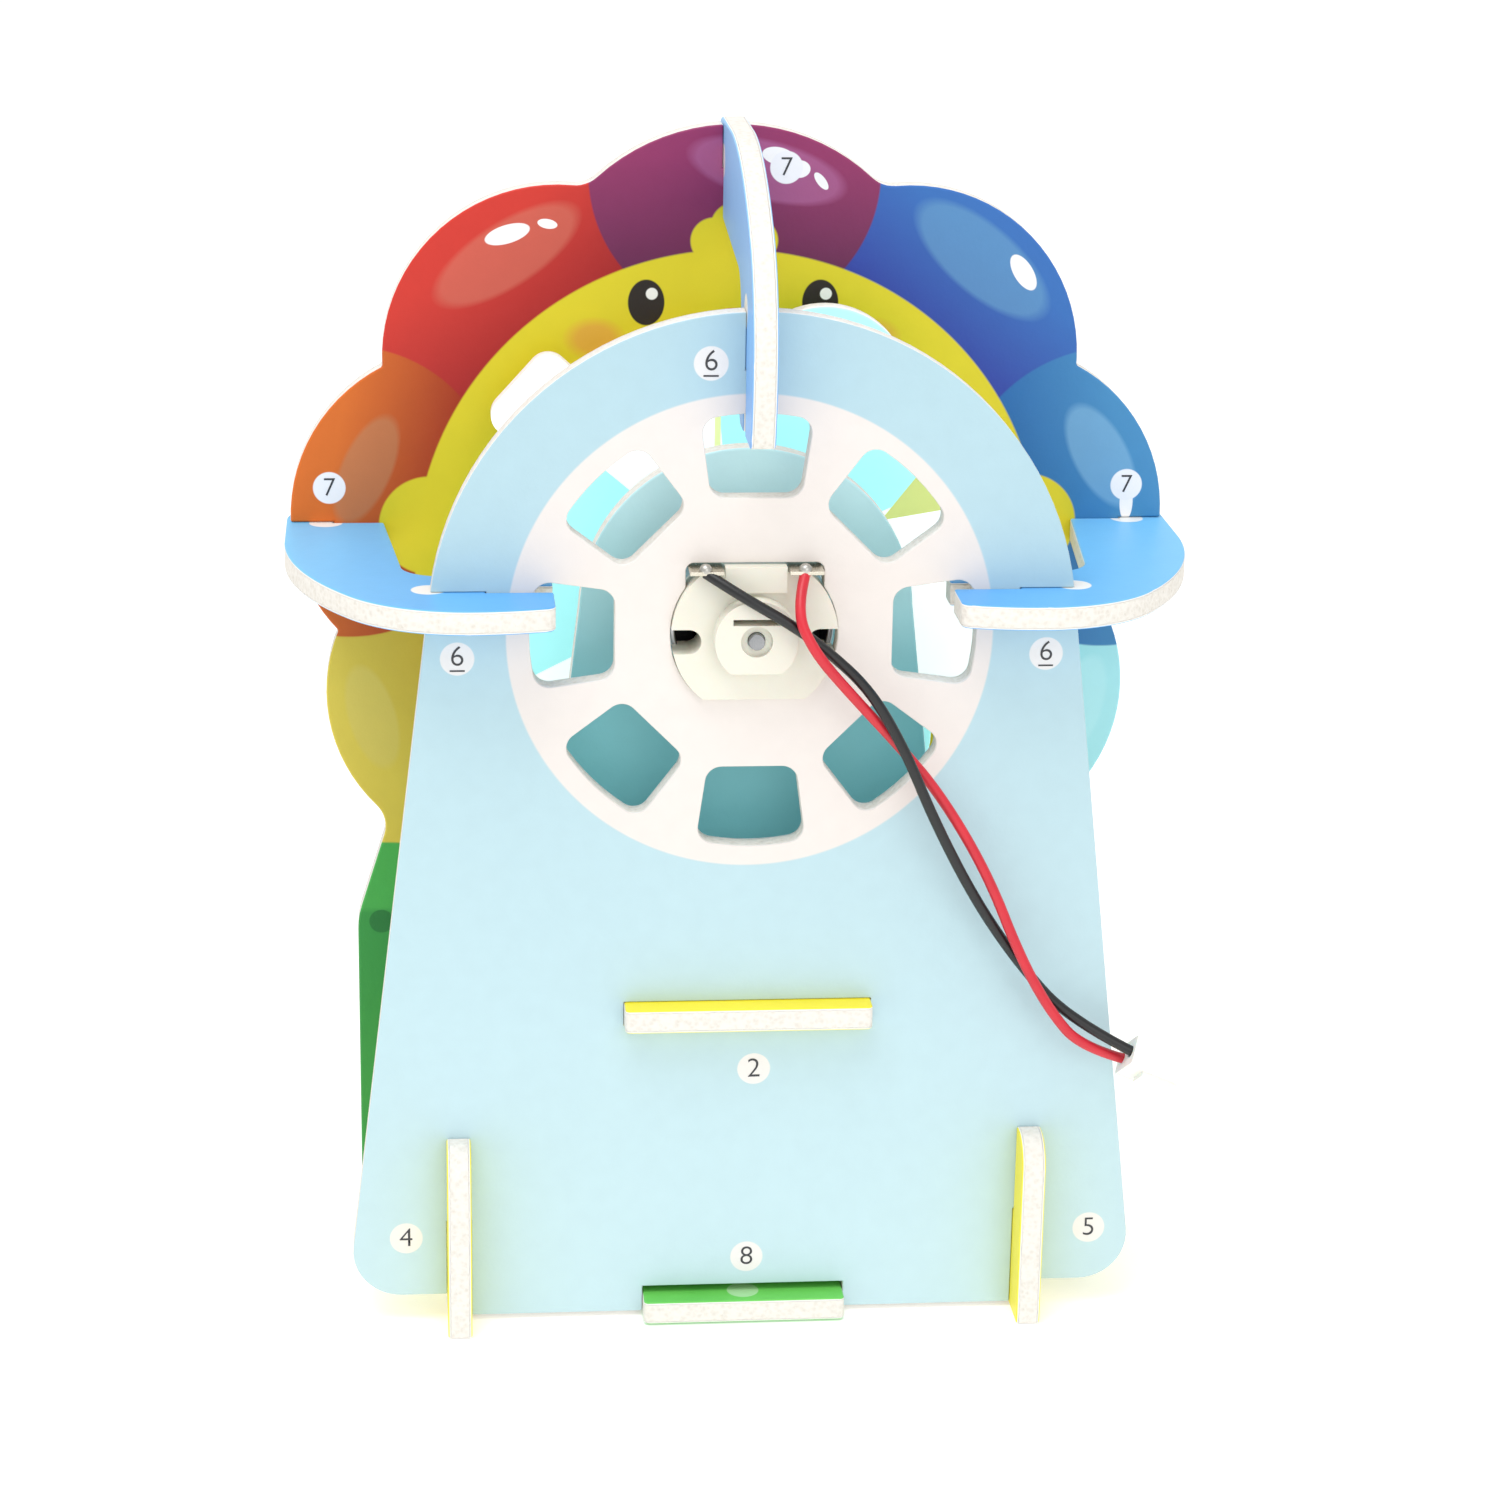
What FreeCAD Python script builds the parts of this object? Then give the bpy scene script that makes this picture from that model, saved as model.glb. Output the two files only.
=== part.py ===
import FreeCAD, Part
import math
import os
import re
import Sketcher

# A motor-driven game spinner made of slotted foam boards.
# X is across the boards, Y runs from the back (minus) to the player (plus), Z is up.
# The origin is on the floor, under the middle of the model.

V = FreeCAD.Vector

doc = FreeCAD.newDocument("game_spinner")
sheet = doc.addObject("Spreadsheet::Sheet", "dims")

DIMENSIONS = {
    # boards
    "board": 3.0,
    "gap": 0.05,
    "axis_height": 89.5,
    "back_depth": -15.75,
    "middle_depth": -5.75,
    "wheel_depth": 11.25,
    "front_depth": 18.75,
    # back board
    "back_arch": 39.0,
    "back_waist": 38.7,
    "back_waist_height": 5.0,
    "back_foot": 49.8,
    "back_lobe_bottom": -86.0,
    "back_bottom": -89.0,
    "lobe_corner": 6.0,
    "window_inner": 16.7,
    "window_outer": 26.9,
    "window_inner_half": 5.4,
    "window_outer_half": 6.7,
    "window_corner": 2.0,
    "windows": 8,
    "motor_hole": 10.1,
    "motor_hole_half": 8.0,
    "terminal_room_half": 8.3,
    "terminal_room_top": 8.8,
    # middle board
    "middle_arch": 20.5,
    "middle_waist": 20.3,
    "middle_waist_height": 2.4,
    "middle_foot": 26.0,
    "middle_bottom": -47.1,
    # front board
    "ring_radius": 50.0,
    "balloon_radius": 22.0,
    "balloon_reach": 34.5,
    "balloon_step": 40.0,
    "side_balloons": 3,
    "first_balloon": 210.0,
    "crown_radius": 25.7,
    "crown_reach": 30.3,
    "notch_corner": 4.0,
    "opening_radius": 27.0,
    "lawn_waist": 43.6,
    "lawn_waist_height": -33.0,
    "lawn_corner": 11.0,
    "lawn_shoulder": 48.3,
    "lawn_shoulder_height": -48.0,
    # struts
    "strut_tip": 24.0,
    "strut_near": 25.75,
    "strut_rise": 3.9,
    "strut_knee": 34.0,
    "strut_knee_radius": 17.0,
    "strut_outer": 56.5,
    "strut_side_start": 8.75,
    "strut_side_radius": 47.6,
    "strut_far_inner": 45.0,
    "strut_inner_foot": 41.6,
    "strut_hook_depth": -9.45,
    "strut_back_lap": 32.0,
    "strut_front_lap": 50.5,
    # supports
    "support_offset": 35.8,
    "support_height": 24.8,
    "support_lap": 13.5,
    "support_near": -22.75,
    "support_far": 25.25,
    "support_corner": 4.0,
    # shelf and base
    "shelf_height": 40.9,
    "shelf_half": 36.0,
    "shelf_tab_half": 15.3,
    "shelf_tab_near": -20.25,
    "shelf_tab_far": 23.25,
    "peg_offset": 13.0,
    "peg_half": 4.0,
    "peg_length": 4.5,
    "base_half": 33.0,
    "base_tab_half": 12.7,
    "base_notch_top": -85.6,
    # motor
    "can_radius": 10.0,
    "can_half": 7.5,
    "can_wall": 0.7,
    "can_near": -13.75,
    "can_far": 6.75,
    "can_boss_radius": 3.05,
    "can_boss": 1.6,
    "cap_radius": 10.0,
    "cap_half": 7.9,
    "cap_face": -18.25,
    "cap_boss_radius": 5.0,
    "cap_boss_flat": 4.0,
    "cap_boss": 2.7,
    "cap_block": 0.8,
    "cap_block_half": 3.7,
    "cap_block_bottom": 5.5,
    "cap_block_top": 8.65,
    "cap_slot_half": 2.85,
    "cap_slot_bottom": 2.0,
    "cap_slot_thick": 0.75,
    "cap_recess": 0.7,
    "cap_recess_radius": 1.9,
    "cap_bearing": -17.5,
    "cap_room": 5.0,
    "cap_notch": 7.9,
    "cap_notch_radius": 1.5,
    "cap_notch_height": -0.7,
    "terminal_offset": 5.95,
    "terminal_half": 2.05,
    "terminal_thick": 0.45,
    "terminal_proud": 1.9,
    "brush_gap": 0.3,
    "brush_thick": 0.3,
    "shaft_radius": 1.0,
    "shaft_near": -21.1,
    "shaft_far": 15.25,
    "running": 0.03,
    "seat": 0.01,
    "bearing_radius": 2.1,
    "magnet_inner": 7.05,
    "magnet_outer": 9.2,
    "magnet_length": 14.8,
    "magnet_near": -9.0,
    "magnet_half_angle": 44.0,
    "core_radius": 6.6,
    "core_near": -6.5,
    "core_length": 10.0,
    "poles": 3,
    "arm_half": 1.1,
    "arm_root": 2.2,
    "arm_shoe": 5.1,
    "pole_gap_half": 0.6,
    "coil_half": 2.2,
    "coil_low": 2.6,
    "coil_high": 4.2,
    "coil_overhang": 1.0,
    "commutator_radius": 2.4,
    "commutator_near": -12.5,
    "commutator_length": 3.4,
    # wheel
    "wheel_radius": 33.0,
    "dome_radius": 10.9,
    "dome_reach": 26.0,
    "dome_angle": 65.0,
    "tab_half": 6.0,
    "tab_reach": 37.3,
    "tab_angle": 138.0,
    "tab_corner": 2.5,
    "hub_radius": 3.2,
    "hub_flange_radius": 6.5,
    "hub_flange": 1.0,
    "hub_proud": 1.5,
    "clip_radius": 5.5,
    "clip_thick": 1.0,
    # leads and connector
    "lead_diameter": 1.3,
    "housing_length": 7.6,
    "housing_width": 5.6,
    "housing_thickness": 3.8,
}

for row, (name, number) in enumerate(DIMENSIONS.items(), start=1):
    sheet.set("A%d" % row, name)
    sheet.set("B%d" % row, str(number))
    sheet.setAlias("B%d" % row, name)
doc.recompute()


def linked(formula):
    """The same formula with every sheet name written in full."""
    return re.sub(r"[a-z_]+", lambda word: "dims." + word[0] if word[0] in DIMENSIONS else word[0], formula)


def size(formula):
    """The number that a formula of sheet names gives now."""
    return float(sheet.evalExpression(linked(formula)))


# ---------------------------------------------------------------- helpers

def new_body(label, across="0", depth="0", height="0", rotation=None):
    """An empty body whose place is bound to the sheet."""
    body = doc.addObject("PartDesign::Body", label)
    body.Label = label
    if rotation:
        body.Placement = FreeCAD.Placement(V(), rotation)
    body.setExpression("Placement.Base.x", linked(across))
    body.setExpression("Placement.Base.y", linked(depth))
    body.setExpression("Placement.Base.z", linked(height))
    return body


def new_sketch(body, name, role, offset="0"):
    """A sketch on one of the body's own planes, moved along the plane's normal."""
    sketch = body.newObject("Sketcher::SketchObject", name)
    plane = [item for item in body.Origin.OriginFeatures if item.Role == role][0]
    sketch.AttachmentSupport = (plane, [""])
    sketch.MapMode = "FlatFace"
    sketch.setExpression("AttachmentOffset.Base.z", linked(offset))
    return sketch


def pin(sketch, geometry, point, along, formula):
    """Hold one point at a distance from the sketch's origin given by a formula."""
    number = size(formula)
    if abs(number) < 1e-9:
        axis = -2 if along == "DistanceX" else -1
        sketch.addConstraint(Sketcher.Constraint("PointOnObject", geometry, point, axis))
        return
    index = sketch.addConstraint(Sketcher.Constraint(along, -1, 1, geometry, point, number))
    sketch.setExpression("Constraints[%d]" % index, linked(formula))


def polygon(sketch, corners):
    """A closed outline of straight sides through corners given as pairs of formulas."""
    points = [V(size(x), size(y), 0) for x, y in corners]
    first = sketch.GeometryCount
    count = len(points)
    for index in range(count):
        sketch.addGeometry(Part.LineSegment(points[index], points[(index + 1) % count]), False)
    for index, (x, y) in enumerate(corners):
        following = first + (index + 1) % count
        sketch.addConstraint(Sketcher.Constraint("Coincident", first + index, 2, following, 1))
        pin(sketch, first + index, 1, "DistanceX", x)
        pin(sketch, first + index, 1, "DistanceY", y)


def rectangle(sketch, left, right, bottom, top):
    polygon(sketch, [(left, bottom), (right, bottom), (right, top), (left, top)])


def circle(sketch, radius, x="0", y="0"):
    index = sketch.addGeometry(Part.Circle(V(size(x), size(y), 0), V(0, 0, 1), size(radius)), False)
    pin(sketch, index, 3, "DistanceX", x)
    pin(sketch, index, 3, "DistanceY", y)
    constraint = sketch.addConstraint(Sketcher.Constraint("Radius", index, size(radius)))
    sketch.setExpression("Constraints[%d]" % constraint, linked(radius))


def closed_chain(sketch, pieces):
    """Lines and arcs drawn end to end, joined where they meet."""
    first = sketch.GeometryCount
    for piece in pieces:
        sketch.addGeometry(piece, False)
    for index in range(len(pieces)):
        here = first + index
        following = first + (index + 1) % len(pieces)
        for mine in (1, 2):
            for theirs in (1, 2):
                apart = sketch.getPoint(here, mine).distanceToPoint(sketch.getPoint(following, theirs))
                if apart < 1e-6:
                    sketch.addConstraint(Sketcher.Constraint("Coincident", here, mine, following, theirs))


def arc_through(start, middle, end):
    return Part.Arc(V(*start, 0), V(*middle, 0), V(*end, 0))


def line(start, end):
    return Part.LineSegment(V(*start, 0), V(*end, 0))


def flatted_circle(sketch, radius, half):
    """A circle with a flat above and a flat below."""
    wide = math.sqrt(size(radius) ** 2 - size(half) ** 2)
    tall = size(half)
    round_side = size(radius)
    closed_chain(sketch, [
        line((-wide, tall), (wide, tall)),
        arc_through((wide, tall), (round_side, 0), (wide, -tall)),
        line((wide, -tall), (-wide, -tall)),
        arc_through((-wide, -tall), (-round_side, 0), (-wide, tall)),
    ])


def pad(body, sketch, length="board", name="pad"):
    """Thicken a sketch the same amount to both sides."""
    feature = body.newObject("PartDesign::Pad", name)
    feature.Profile = sketch
    feature.SideType = "Symmetric"
    feature.setExpression("Length", linked(length))
    doc.recompute()
    return feature


def pocket(body, sketch, length="board * 4", name="pocket"):
    """Cut a sketch out of the body to both sides, and make sure that it cut."""
    before = body.Shape.Volume
    feature = body.newObject("PartDesign::Pocket", name)
    feature.Profile = sketch
    feature.SideType = "Symmetric"
    feature.setExpression("Length", linked(length))
    doc.recompute()
    if body.Shape.Volume > before - 1e-3:
        raise ValueError("%s of %s cuts nothing" % (name, body.Label))
    return feature


def around(body, features, role, count, angle, name="pattern"):
    """Repeat features round one of the body's own axes."""
    pattern = body.newObject("PartDesign::PolarPattern", name)
    pattern.Originals = features
    axis = [item for item in body.Origin.OriginFeatures if item.Role == role][0]
    pattern.Axis = (axis, [""])
    pattern.Mode = "Extent"
    pattern.setExpression("Occurrences", linked(count))
    pattern.setExpression("Angle", linked(angle))
    body.Tip = pattern
    doc.recompute()
    return pattern


def round_corners(body, radius, along, chosen, name="corners"):
    """Round the straight edges along one direction whose middles are chosen."""
    base = body.Tip
    names = []
    for index, edge in enumerate(base.Shape.Edges, start=1):
        if edge.Curve.TypeId != "Part::GeomLine":
            continue
        if abs(edge.tangentAt(edge.FirstParameter).dot(along)) < 0.999:
            continue
        if chosen(edge.CenterOfMass):
            names.append("Edge%d" % index)
    if not names:
        raise ValueError("no corner to round on %s" % body.Label)
    fillet = body.newObject("PartDesign::Fillet", name)
    fillet.Base = (base, names)
    fillet.setExpression("Radius", linked(radius))
    doc.recompute()
    return fillet


def close(value, target, slack=0.3):
    return abs(value - target) < slack


def slab(body, name, near, far, draw):
    """Add what draw outlines, as seen along Y, between two depths."""
    sketch = new_sketch(body, name + "_outline", "XZ_Plane", "-((%s) + (%s)) / 2" % (near, far))
    draw(sketch)
    return pad(body, sketch, "(%s) - (%s)" % (far, near), name)


def bite(body, name, near, far, draw):
    """Remove what draw outlines, as seen along Y, between two depths."""
    sketch = new_sketch(body, name + "_outline", "XZ_Plane", "-((%s) + (%s)) / 2" % (near, far))
    draw(sketch)
    return pocket(body, sketch, "(%s) - (%s)" % (far, near), name)


DEPTH = V(0, 1, 0)
UP = V(0, 0, 1)
ACROSS = V(1, 0, 0)


# ---------------------------------------------------------------- the three upright boards

def cut_board_slots(board, shelf_slot=True):
    """The slots that the shelf, the base, the supports and the struts go through."""
    if shelf_slot:
        sketch = new_sketch(board, "shelf_slot", "XZ_Plane")
        rectangle(sketch, "-shelf_tab_half - gap", "shelf_tab_half + gap",
                  "shelf_height - axis_height - board / 2 - gap",
                  "shelf_height - axis_height + board / 2 + gap")
        pocket(board, sketch, name="shelf_cut")
    sketch = new_sketch(board, "base_notch", "XZ_Plane")
    rectangle(sketch, "-base_tab_half - gap", "base_tab_half + gap", "-axis_height - 1", "base_notch_top")
    pocket(board, sketch, name="base_cut")
    for side in ("", "-"):
        sketch = new_sketch(board, "support_slot", "XZ_Plane")
        middle = side + "support_offset"
        rectangle(sketch, middle + " - board / 2 - gap", middle + " + board / 2 + gap",
                  "-axis_height - 1", "support_lap - axis_height")
        pocket(board, sketch, name="support_cut")


def cut_strut_slots(board, lap, reach):
    """Three slots that run in from the edge, at the top, the left and the right."""
    sketch = new_sketch(board, "top_slot", "XZ_Plane")
    rectangle(sketch, "-board / 2 - gap", "board / 2 + gap", lap, reach)
    pocket(board, sketch, name="top_cut")
    for side in ("", "-"):
        sketch = new_sketch(board, "side_slot", "XZ_Plane")
        rectangle(sketch, side + "(" + lap + ")", side + reach,
                  "strut_rise - board / 2 - gap", "strut_rise + board / 2 + gap")
        pocket(board, sketch, name="side_cut")


def make_back_panel():
    board = new_body("back_panel", depth="back_depth", height="axis_height")
    sketch = new_sketch(board, "legs_outline", "XZ_Plane")
    polygon(sketch, [("-back_waist", "back_waist_height"), ("back_waist", "back_waist_height"),
                     ("back_foot", "back_lobe_bottom"), ("-back_foot", "back_lobe_bottom")])
    pad(board, sketch, name="legs")
    sketch = new_sketch(board, "arch_outline", "XZ_Plane")
    circle(sketch, "back_arch")
    pad(board, sketch, name="arch")
    sketch = new_sketch(board, "tongue_outline", "XZ_Plane")
    inner = "support_offset - board / 2 - gap"
    rectangle(sketch, "-(%s)" % inner, inner, "back_bottom", "back_lobe_bottom + board")
    pad(board, sketch, name="tongue")

    sketch = new_sketch(board, "window_outline", "XZ_Plane")
    inner_half, outer_half = size("window_inner_half"), size("window_outer_half")
    low, outer_radius = size("window_inner"), size("window_outer")
    high = math.sqrt(outer_radius ** 2 - outer_half ** 2)
    closed_chain(sketch, [
        arc_through((-outer_half, high), (0, outer_radius), (outer_half, high)),
        line((outer_half, high), (inner_half, low)),
        line((inner_half, low), (-inner_half, low)),
        line((-inner_half, low), (-outer_half, high)),
    ])
    window = pocket(board, sketch, name="window")
    around(board, [window], "Y_Axis", "windows", "360", "window_ring")
    inner_reach = math.hypot(low, inner_half)
    round_corners(board, "window_corner", DEPTH,
                  lambda p: (close(math.hypot(p.x, p.z), inner_reach)
                             or close(math.hypot(p.x, p.z), outer_radius)),
                  "window_corners")
    foot, bottom = size("back_foot"), size("back_lobe_bottom")
    round_corners(board, "lobe_corner", DEPTH,
                  lambda p: close(abs(p.x), foot) and close(p.z, bottom), "foot_corners")
    sketch = new_sketch(board, "motor_hole_outline", "XZ_Plane")
    flatted_circle(sketch, "motor_hole", "motor_hole_half")
    pocket(board, sketch, name="motor_cut")
    sketch = new_sketch(board, "terminal_room_outline", "XZ_Plane")
    rectangle(sketch, "-terminal_room_half", "terminal_room_half", "0", "terminal_room_top")
    pocket(board, sketch, name="terminal_room")
    room_half, room_top = size("terminal_room_half"), size("terminal_room_top")
    round_corners(board, "board / 3", DEPTH, lambda p: close(abs(p.x), room_half) and close(p.z, room_top),
                  "terminal_room_corners")
    cut_board_slots(board)
    cut_strut_slots(board, "strut_back_lap", "back_arch * 1.1")
    return board


def make_middle_panel():
    board = new_body("middle_panel", depth="middle_depth", height="axis_height")
    sketch = new_sketch(board, "legs_outline", "XZ_Plane")
    polygon(sketch, [("-middle_waist", "middle_waist_height"), ("middle_waist", "middle_waist_height"),
                     ("middle_foot", "middle_bottom"), ("-middle_foot", "middle_bottom")])
    pad(board, sketch, name="legs")
    sketch = new_sketch(board, "arch_outline", "XZ_Plane")
    circle(sketch, "middle_arch")
    pad(board, sketch, name="arch")
    for side in ("", "-"):
        sketch = new_sketch(board, "peg_outline", "XZ_Plane")
        middle = side + "peg_offset"
        rectangle(sketch, middle + " - peg_half", middle + " + peg_half",
                  "middle_bottom - peg_length", "middle_bottom + board")
        pad(board, sketch, name="peg")
    sketch = new_sketch(board, "motor_hole_outline", "XZ_Plane")
    flatted_circle(sketch, "can_radius + gap", "can_half + gap")
    pocket(board, sketch, name="motor_cut")
    return board


def make_front_panel():
    """Three balloon lobes on each side of a disc and a flatter one on top, over a lawn."""
    board = new_body("front_panel", depth="front_depth", height="axis_height")
    sketch = new_sketch(board, "ring_outline", "XZ_Plane")
    circle(sketch, "ring_radius")
    pad(board, sketch, name="ring")
    sketch = new_sketch(board, "crown_outline", "XZ_Plane")
    circle(sketch, "crown_radius", "0", "crown_reach")
    pad(board, sketch, name="crown")
    for side, first in (("left", "first_balloon"), ("right", "first_balloon - 4 * balloon_step")):
        sketch = new_sketch(board, side + "_balloon_outline", "XZ_Plane")
        circle(sketch, "balloon_radius", "balloon_reach * cos((%s) * 1deg)" % first,
               "balloon_reach * sin((%s) * 1deg)" % first)
        balloon = pad(board, sketch, name=side + "_balloon")
        around(board, [balloon], "Y_Axis", "side_balloons", "balloon_step * (side_balloons - 1)",
               side + "_balloons")
    sketch = new_sketch(board, "lawn_outline", "XZ_Plane")
    polygon(sketch, [("-lawn_waist", "lawn_waist_height"), ("lawn_waist", "lawn_waist_height"),
                     ("lawn_shoulder", "lawn_shoulder_height"), ("lawn_shoulder", "back_bottom"),
                     ("-lawn_shoulder", "back_bottom"), ("-lawn_shoulder", "lawn_shoulder_height")])
    pad(board, sketch, name="lawn")
    shoulder, shoulder_height = size("lawn_shoulder"), size("lawn_shoulder_height")
    bottom = size("back_bottom")
    round_corners(board, "lawn_corner", DEPTH,
                  lambda p: close(abs(p.x), shoulder) and close(p.z, shoulder_height), "shoulder_corners")
    round_corners(board, "notch_corner", DEPTH,
                  lambda p: close(abs(p.x), shoulder) and close(p.z, bottom), "foot_corners")
    round_corners(board, "notch_corner", DEPTH,
                  lambda p: 51 < math.hypot(p.x, p.z) < 56.5 and p.z > shoulder_height + 5, "balloon_notches")
    sketch = new_sketch(board, "opening_outline", "XZ_Plane")
    circle(sketch, "opening_radius")
    pocket(board, sketch, name="opening")
    cut_board_slots(board)
    cut_strut_slots(board, "strut_front_lap", "ring_radius * 1.3")
    return board


# ---------------------------------------------------------------- struts, supports, shelf and base

def make_strut(label, rotation, height):
    """A hooked board that clips over the rims of the back and front boards."""
    board = new_body(label, height=height, rotation=rotation)
    tip, near, knee = size("strut_tip"), size("strut_near"), size("strut_knee")
    outer, side_start = size("strut_outer"), size("strut_side_start")
    knee_radius, side_radius = size("strut_knee_radius"), size("strut_side_radius")
    far_inner, hook = size("strut_far_inner"), size("strut_hook_depth")
    inner_foot = size("strut_inner_foot")
    knee_centre = (knee, knee_radius - near)
    side_centre = (outer - side_radius, side_start)
    lean = math.atan2(knee_centre[1] - side_centre[1], knee_centre[0] - side_centre[0])
    joint = (knee_centre[0] + knee_radius * math.cos(lean), knee_centre[1] + knee_radius * math.sin(lean))
    knee_turn = (lean - math.pi / 2) / 2
    knee_middle = (knee_centre[0] + knee_radius * math.cos(knee_turn),
                   knee_centre[1] + knee_radius * math.sin(knee_turn))
    side_middle = (side_centre[0] + side_radius * math.cos(lean / 2),
                   side_centre[1] + side_radius * math.sin(lean / 2))
    sketch = new_sketch(board, "hook_outline", "XY_Plane")
    closed_chain(sketch, [
        arc_through((tip, 1.5 - near), ((tip + knee) / 2, 0.37 - near), (knee, -near)),
        arc_through((knee, -near), knee_middle, joint),
        arc_through(joint, side_middle, (outer, side_start)),
        line((outer, side_start), (outer, near)),
        line((outer, near), (far_inner, near)),
        line((far_inner, near), (inner_foot, hook)),
        line((inner_foot, hook), (tip, hook)),
        line((tip, hook), (tip, 1.5 - near)),
    ])
    pad(board, sketch, name="hook")
    round_corners(board, "board * 2", UP, lambda p: close(p.x, outer) and close(p.y, near), "outer_corner")
    round_corners(board, "board * 5 / 3", UP, lambda p: close(p.x, inner_foot) and close(p.y, hook), "crook")
    round_corners(board, "board / 2", UP,
                  lambda p: close(p.x, tip) or (close(p.x, far_inner) and close(p.y, near)), "tip_corners")
    for middle, lap, start in (("back_depth", "strut_back_lap", "strut_tip - board"),
                               ("front_depth", "strut_front_lap", "strut_inner_foot - board")):
        sketch = new_sketch(board, "lap_outline", "XY_Plane")
        rectangle(sketch, start, lap + " + gap", middle + " - board / 2 - gap", middle + " + board / 2 + gap")
        pocket(board, sketch, name="lap")
    return board


def make_support(label, side):
    """An upright board under both panels, notched from above for each of them."""
    board = new_body(label, across=side + "support_offset")
    sketch = new_sketch(board, "side_outline", "YZ_Plane")
    rectangle(sketch, "support_near", "support_far", "0", "support_height")
    pad(board, sketch, name="side")
    top = size("support_height")
    round_corners(board, "support_corner", ACROSS, lambda p: close(p.z, top), "top_corners")
    for middle in ("back_depth", "front_depth"):
        sketch = new_sketch(board, "lap_outline", "YZ_Plane")
        rectangle(sketch, middle + " - board / 2 - gap", middle + " + board / 2 + gap",
                  "support_lap - gap", "support_height + board")
        pocket(board, sketch, name="lap")
    return board


def make_deck(label, height, half, tab_half, near, far):
    """A level board between the panels with a tab through each of them."""
    board = new_body(label, height=height)
    sketch = new_sketch(board, "deck_outline", "XY_Plane")
    rectangle(sketch, "-" + half, half, "back_depth + board / 2 + gap", "front_depth - board / 2 - gap")
    pad(board, sketch, name="deck")
    sketch = new_sketch(board, "tab_outline", "XY_Plane")
    rectangle(sketch, "-" + tab_half, tab_half, near, far)
    pad(board, sketch, name="tabs")
    ends = (size(near), size(far))
    round_corners(board, "board / 4", UP, lambda p: close(p.y, ends[0]) or close(p.y, ends[1]), "tab_corners")
    return board


def make_shelf():
    board = make_deck("shelf", "shelf_height", "shelf_half",
                      "shelf_tab_half", "shelf_tab_near", "shelf_tab_far")
    for side in ("", "-"):
        sketch = new_sketch(board, "peg_slot", "XY_Plane")
        middle = side + "peg_offset"
        rectangle(sketch, middle + " - peg_half - gap", middle + " + peg_half + gap",
                  "middle_depth - board / 2 - gap", "middle_depth + board / 2 + gap")
        pocket(board, sketch, name="peg_cut")
    return board


# ---------------------------------------------------------------- motor

def make_can():
    """The pressed steel case, flat above and below, with a round boss in front."""
    can = new_body("motor_can", height="axis_height")
    slab(can, "case", "can_near", "can_far", lambda s: flatted_circle(s, "can_radius", "can_half"))
    slab(can, "boss", "can_far - can_wall", "can_far + can_boss", lambda s: circle(s, "can_boss_radius"))
    bite(can, "inside", "can_near - 1", "can_far - can_wall",
         lambda s: flatted_circle(s, "can_radius - can_wall", "can_half - can_wall"))
    bite(can, "bearing_seat", "can_far - 2", "can_far + can_boss + 1",
         lambda s: circle(s, "bearing_radius + seat"))
    return can


def make_end_cap():
    """The moulded nylon end cap that carries the brushes and the rear bearing."""
    cap = new_body("end_cap", height="axis_height")
    slab(cap, "plate", "cap_face", "can_near", lambda s: flatted_circle(s, "cap_radius", "cap_half"))
    slab(cap, "spigot", "can_near - 0.5", "can_near + 1.5",
         lambda s: flatted_circle(s, "can_radius - can_wall - gap", "can_half - can_wall - gap"))
    slab(cap, "bearing_boss", "cap_face - cap_boss", "cap_face + 1", lambda s: circle(s, "cap_boss_radius"))
    bite(cap, "boss_flat", "cap_face - cap_boss - 1", "cap_face",
         lambda s: rectangle(s, "-cap_boss_radius * 1.2", "cap_boss_radius * 1.2",
                             "-cap_boss_radius * 1.2", "-cap_boss_flat"))
    slab(cap, "raised_block", "cap_face - cap_block", "cap_face + 1",
         lambda s: rectangle(s, "-cap_block_half", "cap_block_half", "cap_block_bottom", "cap_block_top"))
    bite(cap, "slot", "cap_face - cap_boss - 1", "cap_face + 1.5",
         lambda s: rectangle(s, "-cap_slot_half", "cap_slot_half",
                             "cap_slot_bottom", "cap_slot_bottom + cap_slot_thick"))
    bite(cap, "recess", "cap_face - cap_boss - 1", "cap_face - cap_boss + cap_recess",
         lambda s: circle(s, "cap_recess_radius"))
    bite(cap, "shaft_hole", "cap_face - cap_boss - 1", "can_near + 2",
         lambda s: circle(s, "shaft_radius + 2 * running"))
    bite(cap, "bearing_seat", "cap_bearing", "can_near + 2", lambda s: circle(s, "bearing_radius + seat"))
    bite(cap, "brush_room", "can_near - 0.8", "can_near + 2", lambda s: circle(s, "cap_room"))
    for side in ("", "-"):
        bite(cap, "notch_mouth", "cap_face - 1", "can_near + 2",
             lambda s: rectangle(s, side + "cap_notch", side + "cap_radius * 1.1",
                                 "cap_notch_height - cap_notch_radius",
                                 "cap_notch_height + cap_notch_radius"))
        bite(cap, "notch_end", "cap_face - 1", "can_near + 2",
             lambda s: circle(s, "cap_notch_radius", side + "cap_notch", "cap_notch_height"))
    return cap


def make_ring(label, radius, bore, near, far):
    """A plain turned ring on the motor's axis."""
    ring = new_body(label, height="axis_height")
    slab(ring, "ring", near, far, lambda s: circle(s, radius))
    bite(ring, "bore", "(%s) - 1" % near, "(%s) + 1" % far, lambda s: circle(s, bore))
    return ring


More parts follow.
